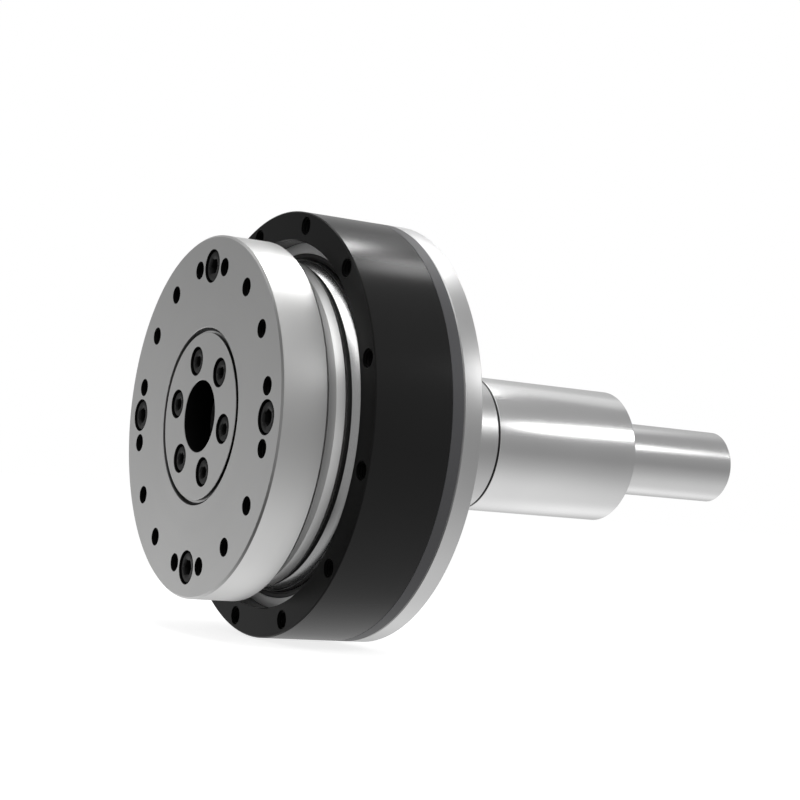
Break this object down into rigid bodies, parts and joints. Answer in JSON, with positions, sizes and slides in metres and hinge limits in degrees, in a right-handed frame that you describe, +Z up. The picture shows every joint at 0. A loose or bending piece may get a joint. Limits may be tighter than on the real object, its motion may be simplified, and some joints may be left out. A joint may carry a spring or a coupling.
{
  "type": "strain wave gear",
  "caption": "Strain wave gear unit: round output flange on a crossed-roller bearing in a black housing ring, with a rear boss and a stepped input shaft.",
  "frame": {"origin": "centre of the output flange's mounting face, on the gear axis", "axes": "+X along the gear axis from the output face towards the input shaft's end; +Z up, through the upper flange screw; +Y to the left as seen from the output face"},
  "size_m": [0.179, 0.1194, 0.1194],
  "materials": {
    "satin_steel": "fine turned satin",
    "bright_steel": "ground bright",
    "polished_steel": "ground and polished",
    "silver_steel": "fine turned",
    "grey_steel": "machined",
    "dark_iron": "phosphated",
    "spring_steel": "machined",
    "bearing_steel": "ground",
    "black_finish": "black, half matt",
    "black_oxide": "black oxide, oiled",
    "black_rubber": "moulded, matt",
    "seal_rubber": "moulded, half matt",
    "cage_plastic": "moulded"
  },
  "bodies": {
    "housing": {"housing_ring": "black_finish", "filler_plug": "black_finish", "seal_carrier": "grey_steel", "output_seal": "seal_rubber", "circular_spline": "dark_iron", "rear_flange": "silver_steel", "assembly_screws": "black_oxide", "support_outer_rings": "bearing_steel", "bearing_spacer": "spring_steel", "bore_circlip": "black_oxide", "shaft_seal": "seal_rubber"},
    "output": {"output_flange": "satin_steel", "output_hub": "satin_steel", "hub_screws": "black_oxide", "flange_screws": "black_oxide", "bore_plug": "black_rubber", "flange_gasket": "black_rubber", "bearing_inner_ring": "bright_steel", "flexspline": "spring_steel", "clamp_ring": "spring_steel"},
    "input": {"input_shaft": "polished_steel", "cam_key": "spring_steel", "cam_circlip": "black_oxide", "wave_cam": "spring_steel", "flex_inner_race": "bearing_steel", "flex_outer_race": "bearing_steel", "flex_balls": "bearing_steel", "flex_cage": "cage_plastic", "support_inner_rings": "bearing_steel"},
    "main_rollers": {"crossed_rollers": "bearing_steel"},
    "shaft_balls": {"support_balls": "bearing_steel"}
  },
  "joints": [
    {"name": "input_turn", "type": "hinge", "parent": "housing", "child": "input", "pos_m": [0.09, 0, 0], "axis": [1, 0, 0], "continuous": true, "deforming": ["flexspline"]},
    {"name": "output_turn", "type": "hinge", "parent": "housing", "child": "output", "pos_m": [0.01, 0, 0], "axis": [1, 0, 0], "continuous": true},
    {"name": "main_roller_orbit", "type": "hinge", "parent": "housing", "child": "main_rollers", "pos_m": [0.033, 0, 0], "axis": [1, 0, 0], "continuous": true},
    {"name": "shaft_ball_orbit", "type": "hinge", "parent": "housing", "child": "shaft_balls", "pos_m": [0.065, 0, 0], "axis": [1, 0, 0], "continuous": true}
  ],
  "couplings": [
    {"joint": "output_turn", "follows": "input_turn", "ratio": -0.033333},
    {"joint": "main_roller_orbit", "follows": "input_turn", "ratio": -0.015923},
    {"joint": "shaft_ball_orbit", "follows": "input_turn", "ratio": 0.43846}
  ]
}
